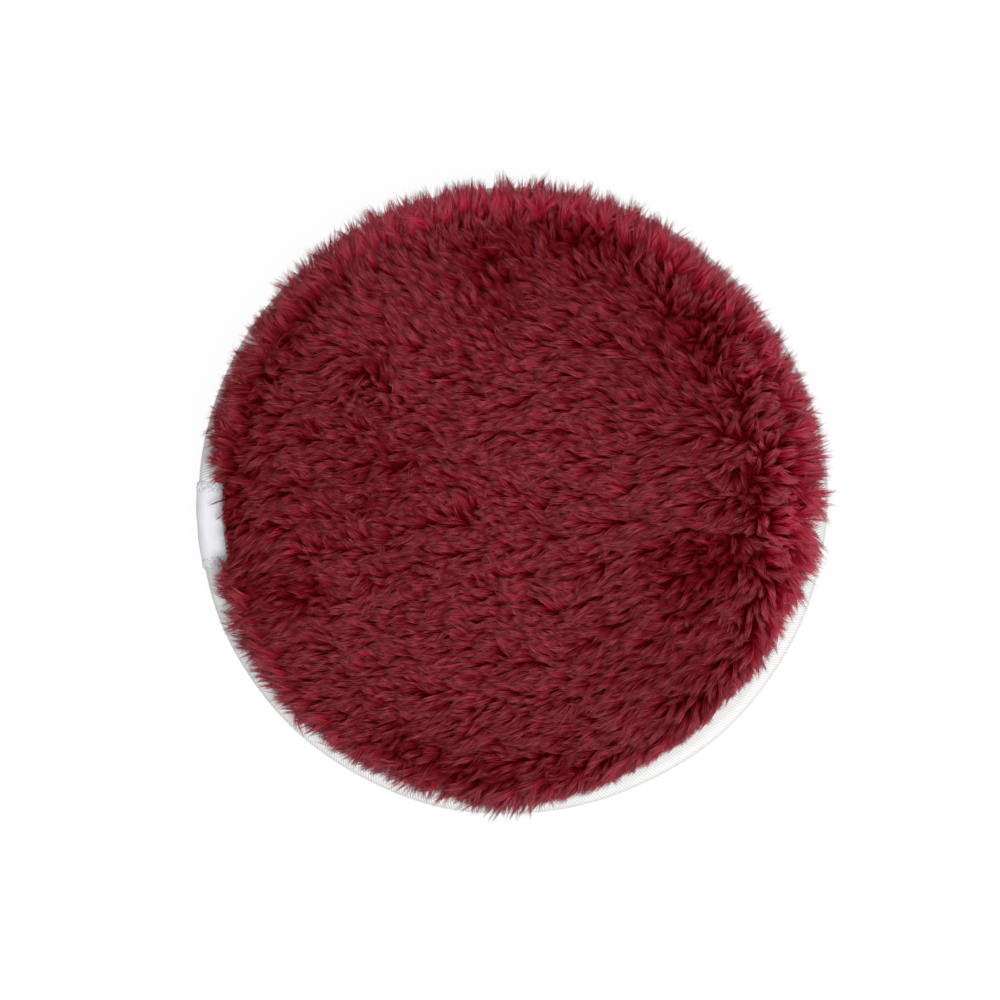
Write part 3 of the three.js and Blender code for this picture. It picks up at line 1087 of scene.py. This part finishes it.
def rim_locks(rng, middle, rim_table):
    """The locks of the rim's tufts: roots, ways, tones with the rim's painted light and shade, and how
    far their hairs are gathered.
    """
    tufts = len(middle)
    tuft = np.repeat(np.arange(tufts), RIM_LOCKS)
    count = len(tuft)
    angle = way_round(middle)
    reach, ragged, _, aside, stand, tone = rim_values(rim_table, angle)
    heading = angle + np.radians(aside) + rng.normal(0, RIM_HEADING_SPREAD, tufts)
    curl = rng.normal(0, RIM_CURL_SPREAD, tufts)
    length = RIM_LENGTH * rng.normal(1, RIM_LENGTH_SPREAD, tufts)
    start_lift = stand + (RIM_START_LIFT - stand) * rng.uniform(0, 1, tufts)
    end_lift = stand + rng.normal(*RIM_END_LIFT, tufts)
    long = rng.uniform(0, 1, tufts) < LONG_TUFTS
    long_inset = np.abs(rng.normal(0, LONG_INSET, tufts))
    dense_inset = rng.normal(DENSE_INSET, DENSE_SPREAD, tufts)
    limit = reach - ragged * np.where(long, long_inset, dense_inset)
    # the rim table's painted light and shade, with a random spread of tone
    tone = tone + rng.normal(0, RIM_TONE_SPREAD, tufts)
    root = middle[tuft] + rng.normal(0, 1, (count, 3)) * np.array(RIM_ROOT_SCATTER)
    up = np.tile([0.0, 0.0, 1.0], (count, 1))
    travel = lock_travel(rng, up, tuft, (heading, curl, length, start_lift, end_lift), RIM_SPREADS)
    shift = RIM_PULL * (middle[tuft] - root)
    travel = travel + shift[:, None] * HAIR_SHARES[:, None]
    limit = limit[tuft] - LOCK_INSET * np.abs(rng.normal(0, 1, count))
    gathered = RIM_GATHERED + RAGGED_GATHERED * np.minimum(ragged, 1)
    return root, trimmed(root, travel, limit), tone[tuft], gathered[tuft]


def trimmed(root, travel, limit):
    """Shortens the locks whose tips would come further from the axis than their limits."""
    root_radius = from_axis(root)
    tip_radius = from_axis(root + travel[:, -1])
    room = (limit - root_radius) / np.maximum(tip_radius - root_radius, 1e-6)
    scale = np.where(tip_radius > limit, np.clip(room, LEAST_TRIM, 1), 1)
    return travel * scale[:, None, None]


def pressed(paths, free, limit):
    """Bends down the hairs above a height, so that none comes above the limit."""
    height = paths[..., 2]
    squeezed = free + (limit - free) * (1 - np.exp(-np.maximum(height - free, 0) / (limit - free)))
    paths[..., 2] = np.where(height > free, squeezed, height)
    return paths


def pile_hairs(rng, root, travel, spread, gathered, shortest):
    """Hair by hair: points from root to tip, gathered towards the lock's middle line."""
    shape = (len(root), HAIRS_PER_LOCK)
    around = rng.uniform(0, 2 * math.pi, shape)
    away = spread * np.sqrt(rng.uniform(0, 1, shape))
    offset = np.stack([away * np.cos(around), away * np.sin(around), np.zeros(shape)], axis=-1)
    gather = gathered[:, None] + rng.normal(0, GATHER_SPREAD, shape)
    loose = rng.uniform(0, 1, shape) < LOOSE_SHARE * (1 - gathered[:, None])
    gather = np.where(loose, LOOSE_GATHER, gather)
    size = rng.uniform(shortest, LONGEST_HAIR, shape)
    keep = 1 - gather[..., None] * HAIR_SHARES**GATHER_POWER
    points = root[:, None, None] + offset[:, :, None] * keep[..., None]
    points = points + travel[:, None] * size[..., None, None]
    stray = rng.normal(0, HAIR_STRAY, (*shape, HAIR_RINGS + 1, 3)) * HAIR_SHARES[:, None]
    return (points + stray).reshape(-1, HAIR_RINGS + 1, 3)


def clear_of_tape(points):
    """Lifts the points that hang over the tape and label clear of them."""
    radius = from_axis(points)
    outside = smoothstep(EDGE_RADIUS, EDGE_RADIUS + EDGE_DROP_WIDTH, radius)
    lifted = np.maximum(points[..., 2], TAPE_CLEAR - EDGE_DROP * outside)
    points[..., 2] = np.where(radius > NECK_RADIUS, lifted, points[..., 2])
    return points


def strand_mesh(rng, paths, widths):
    """Closed three-sided strands along paths, with their corner indices."""
    count, rings = paths.shape[0], HAIR_RINGS
    along = unit(np.gradient(paths, axis=1))
    side = unit(np.cross(along, np.array(ASKEW)))
    other = np.cross(along, side)
    share = np.arange(rings) / rings
    width = widths[:, None] / 2 * (1 - TIP_TAPER * share**TAPER_POWER)
    roll = rng.uniform(0, 2 * math.pi, count)
    corners = []
    for k in range(HAIR_SIDES):
        turn = roll + k * 2 * math.pi / HAIR_SIDES
        across = np.cos(turn)[:, None, None] * side + np.sin(turn)[:, None, None] * other
        corners.append(paths[:, :rings] + width[..., None] * across[:, :rings])
    body = np.stack(corners, axis=2).reshape(count, rings * HAIR_SIDES, 3)
    points = np.concatenate([body, paths[:, rings:]], axis=1)
    tip = rings * HAIR_SIDES
    last = np.arange(tip - HAIR_SIDES, tip)
    cap = np.stack([last, np.roll(last, -1), np.full(HAIR_SIDES, tip)], axis=-1)
    quads = grid_faces(rings, HAIR_SIDES, close_columns=True)
    faces = np.concatenate([[(0, 2, 1)], quads[:, [0, 1, 2, 0, 2, 3]].reshape(-1, 3), cap])
    start = np.arange(count)[:, None, None] * (tip + 1)
    return points, (faces[None] + start).reshape(-1, 3)


def strand_map(tones):
    """The map place of each strand's corners: its tone across, root to tip up."""
    margin = 0.01
    half_width = 0.004
    nudge = 0.02  # keeps a ring's corners off one line
    sides = np.tile((np.arange(HAIR_SIDES) - 1) * half_width, HAIR_RINGS)
    share = np.repeat(np.arange(HAIR_RINGS) / HAIR_RINGS, HAIR_SIDES)
    lift = np.tile(np.where(np.arange(HAIR_SIDES) == 1, nudge, 0.0), HAIR_RINGS)
    u = np.append(sides, 0.0)
    v = np.append(share + lift, 1 - margin)
    place = margin + (1 - 2 * margin) * np.clip(tones, 0, 1)
    uv = np.stack(np.broadcast_arrays(place[:, None] + u, v[None, :]), axis=-1)
    return np.clip(uv.reshape(-1, 2), 0, 1)


def pile_pieces(prefix, rng, paths, tones, sectors, side, material, node):
    """The strands of one face as pieces, each a slice of the round."""
    widths = HAIR_WIDTH * rng.uniform(*HAIR_WIDTHS, len(paths))
    angle = way_round(paths[:, 0]) % (2 * math.pi)
    sector = np.minimum((angle * sectors / (2 * math.pi)).astype(int), sectors - 1)
    if side < 0:
        paths = paths * np.array([1, 1, -1])
    for i in range(sectors):
        chosen = sector == i
        points, faces = strand_mesh(rng, paths[chosen], widths[chosen])
        piece = add_piece(f"{prefix}_{i + 1:02d}", points, faces, material, [node])
        add_uv(piece, "OFBake", strand_map(tones[chosen]))


def face_paths(rng, noise, area, rim_count, rim_table):
    """All the hairs of one face as points from root to tip, and how light each lock is, painted light
    and shade included.
    """
    crown = crown_roots(rng, area)
    crown_way, crown_tone = crown_travel(rng, crown, noise, rim_table)
    reach, ragged, *_ = rim_values(rim_table, way_round(crown + crown_way[:, -1]))
    inset = DENSE_INSET + rng.normal(0, CROWN_INSET_SPREAD, len(crown))
    crown_way = trimmed(crown, crown_way, reach - ragged * inset)
    middle = rim_roots(rng, rim_count, rim_table)
    rim, rim_way, rim_tone_and_painted_light, rim_gathered = rim_locks(rng, middle, rim_table)
    tip = crown_way[:, -1]
    flatness = np.linalg.norm(tip[:, :2], axis=1) / np.linalg.norm(tip, axis=1)
    gathered = np.concatenate([CROWN_GATHERED + FLAT_GATHERED * flatness, rim_gathered])
    spread = LOCK_SPREAD * math.sqrt(area / math.pi)
    shortest = np.repeat([CROWN_SHORTEST, RIM_SHORTEST], [len(crown), len(rim)])[:, None]
    root = np.concatenate([crown, rim])
    travel = np.concatenate([crown_way, rim_way])
    hairs = clear_of_tape(pile_hairs(rng, root, travel, spread, gathered, shortest))
    return hairs, np.concatenate([crown_tone, rim_tone_and_painted_light])


def tuft_paths(rng):
    """The hairs of the long locks that stand out from the front's rim, and the rim's painted light and
    shade on them.
    """
    degrees, tip_radius, heading, locks = np.array(TUFTS, dtype=float).T
    tip = polar(tip_radius, np.radians(degrees), LONG_TIP_HEIGHT)
    ahead = np.stack([np.cos(np.radians(heading)), np.sin(np.radians(heading))], axis=-1)
    along = (tip[:, :2] * ahead).sum(-1)
    root_radius = GROUND_RADIUS - LONG_ROOT_INSET
    inside = np.maximum(along**2 - tip_radius**2 + root_radius**2, 0)
    length = np.minimum(along - np.sqrt(inside), LONG_LENGTH)
    root = tip.copy()
    root[:, :2] -= length[:, None] * ahead
    root[:, 2] = ground_height(np.minimum(from_axis(root), root_radius))
    travel = (tip - root)[:, None] * HAIR_SHARES[:, None]
    travel[..., 2] += LONG_ARCH * HAIR_SHARES * (1 - HAIR_SHARES)
    locks = locks.astype(int)
    root = np.repeat(root, locks, axis=0)
    travel = np.repeat(travel, locks, axis=0)
    spread = LONG_SPREAD * np.repeat(locks, locks)[:, None]
    root[:, :2] += LONG_SCATTER * spread * rng.normal(0, 1, (len(root), 2))
    gathered = np.full(len(root), LONG_GATHERED)
    hairs = clear_of_tape(pile_hairs(rng, root, travel, spread, gathered, LONG_SHORTEST))
    # their tone is only the rim's painted light and shade
    return hairs, rim_values(FRONT_RIM, way_round(root))[-1]


def hair_tones(rng, lock_tone):
    """Where each hair lies between the dark and the light fibre."""
    lock_tone = lock_tone + rng.normal(*LOCK_TONE, len(lock_tone))
    hairs = np.repeat(lock_tone, HAIRS_PER_LOCK)
    return hairs + rng.normal(0, HAIR_TONE, len(hairs))


def front_pile(material):
    """The pile in view, with its long rim locks."""
    rng, noise = (np.random.default_rng(seed) for seed in FRONT_SEEDS)
    face, face_tone = face_paths(rng, noise, FRONT_LOCK_AREA, FRONT_RIM_TUFTS, FRONT_RIM)
    # the long locks carry the rim's painted light and shade as their tone
    long_locks, long_painted_light = tuft_paths(rng)
    paths = pressed(np.concatenate([face, long_locks]), *FRONT_PRESS)
    tones = hair_tones(rng, np.concatenate([face_tone, long_painted_light]))
    pile_pieces("front_pile", rng, paths, tones, FRONT_SECTORS, 1, material, "front_plush")


def back_pile(material):
    """The pile that the pad lies on, pressed against the floor."""
    rng, noise = (np.random.default_rng(seed) for seed in BACK_SEEDS)
    face, face_tone = face_paths(rng, noise, BACK_LOCK_AREA, BACK_RIM_TUFTS, BACK_RIM)
    paths = pressed(face, *BACK_PRESS)
    tones = hair_tones(rng, face_tone)
    pile_pieces("back_pile", rng, paths, tones, BACK_SECTORS, -1, material, "back_plush")


# Floor, light and camera


def seen_ray(tree):
    """1 for what the camera sees straight, mirrored or through glass, and 0 for other light."""
    path = add_node(tree, "LightPath")
    seen = path.outputs["Is Camera Ray"]
    for name in ("Is Glossy Ray", "Is Transmission Ray"):
        larger = add_node(tree, "Math", {0: seen, 1: path.outputs[name]}, operation="MAXIMUM")
        seen = larger.outputs[0]
    return seen


def mix_shaders(tree, share, first, second, output):
    """Links a mix of two shaders to the output node."""
    mix = add_node(tree, "MixShader", {"Fac": share, 1: first.outputs[0], 2: second.outputs[0]})
    tree.links.new(mix.outputs["Shader"], tree.nodes[output].inputs["Surface"])


def add_floor():
    """A wide floor that is seen as white with a faint shadow, and throws little light back."""
    half = 3.0
    below = 0.0002
    glow_share = 0.965
    dim = (0.35, 0.35, 0.35, 1)
    pale = (0.96, 0.96, 0.96, 1)
    mesh = bpy.data.meshes.new("floor")
    corners = [(-half, -half, 0), (half, -half, 0), (half, half, 0), (-half, half, 0)]
    mesh.from_pydata(corners, [], [(0, 1, 2, 3)])
    floor = add_object("floor", mesh)
    floor.location.z = -below
    material, tree = new_material("floor_white")
    tree.nodes.remove(tree.nodes["Principled BSDF"])
    seen = seen_ray(tree)
    matt = add_node(tree, "BsdfDiffuse", {"Color": add_mix(tree, "MIX", seen, dim, pale)})
    glow = add_node(tree, "Emission", {"Strength": 1.0})
    mix_shaders(tree, add_range(tree, seen, 0.0, glow_share), matt, glow, "Material Output")
    mesh.materials.append(material)


def add_world():
    """Soft light from all round, strongest from nearly straight above, and white where it is seen."""
    white = (1, 1, 1, 1)
    brightest_way = Vector((0.1, -0.13, 1.0)).normalized()
    weakest, strongest = 0.12, 0.74
    weakest_from = -0.3
    world = bpy.data.worlds.new("studio")
    bpy.context.scene.world = world
    world.use_nodes = True
    tree = world.node_tree
    way = add_node(tree, "TexCoord").outputs["Generated"]
    side = add_node(tree, "VectorMath", {0: way, 1: brightest_way}, operation="DOT_PRODUCT")
    strength = add_range(tree, side.outputs["Value"], weakest, strongest, weakest_from)
    light = tree.nodes["Background"]
    set_inputs(tree, light, {"Color": white, "Strength": strength})
    plain = add_node(tree, "Background", {"Color": white, "Strength": 1.0})
    mix_shaders(tree, seen_ray(tree), light, plain, "World Output")


def add_key_light():
    """A soft round lamp, above and to one side."""
    place = Vector((0.6, -0.55, 2.4))
    data = bpy.data.lights.new("key", "AREA")
    data.shape = "DISK"
    data.size = 1.0
    data.energy = 40.0
    lamp = add_object("key", data)
    lamp.location = place
    lamp.rotation_euler = (-place).to_track_quat("-Z", "Y").to_euler()


def add_camera():
    """Straight above, with the photograph's 191.3 mm across the bound edge's plane."""
    distance = 0.9
    sensor = 36.0
    view_width = 0.1913
    middle = (-0.0023, 0.0002)
    data = bpy.data.cameras.new("camera")
    data.sensor_width = sensor
    data.lens = sensor * distance / view_width
    camera = add_object("camera", data)
    camera.location = (*middle, MIDDLE_HEIGHT + distance)
    bpy.context.scene.camera = camera


add_camera()
add_world()
add_key_light()
add_floor()
bpy.context.scene.view_settings.view_transform = "Standard"

pile = pile_material()
ground = ground_material()
thread = thread_material()
plush_ground("front_plush_ground", 1, ground, "front_plush")
plush_ground("back_plush_ground", -1, ground, "back_plush")
sponge(sponge_material())
binding_tape(tape_material())
satin_label(satin_material())
needle_thread(thread)
bobbin_thread(thread)
tack_thread("label_zigzag_upper", LABEL_ANGLE - TACK_HALF_ANGLE, thread, "label_tack_upper")
tack_thread("label_zigzag_lower", LABEL_ANGLE + TACK_HALF_ANGLE, thread, "label_tack_lower")
front_pile(pile)
back_pile(pile)
